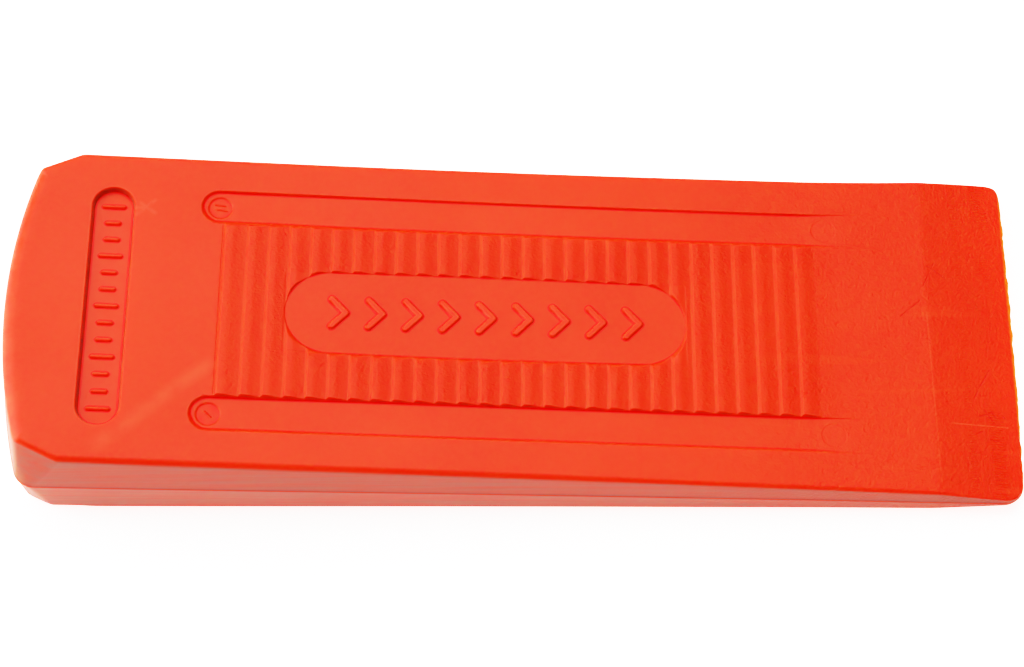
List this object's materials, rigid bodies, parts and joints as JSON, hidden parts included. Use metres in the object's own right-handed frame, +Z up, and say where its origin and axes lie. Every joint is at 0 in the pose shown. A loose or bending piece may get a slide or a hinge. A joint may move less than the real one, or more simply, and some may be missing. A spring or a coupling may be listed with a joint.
{
  "type": "felling wedge",
  "caption": "One-piece plastic felling wedge with toothed driving faces, a crowned striking head and a thin bevelled tip.",
  "frame": {"origin": "centre of the bounding box's bottom, with the wedge lying on its lower driving face", "axes": "+X from the struck head to the thin tip, +Y across the width, +Z up away from the lower driving face"},
  "size_m": [0.2378, 0.0826, 0.0275],
  "materials": {
    "orange_plastic": "satin moulded plastic, opaque signal orange, fine grain on the teeth and the tip bevel"
  },
  "bodies": {
    "root": {"wedge_body": "orange_plastic"}
  },
  "joints": []
}
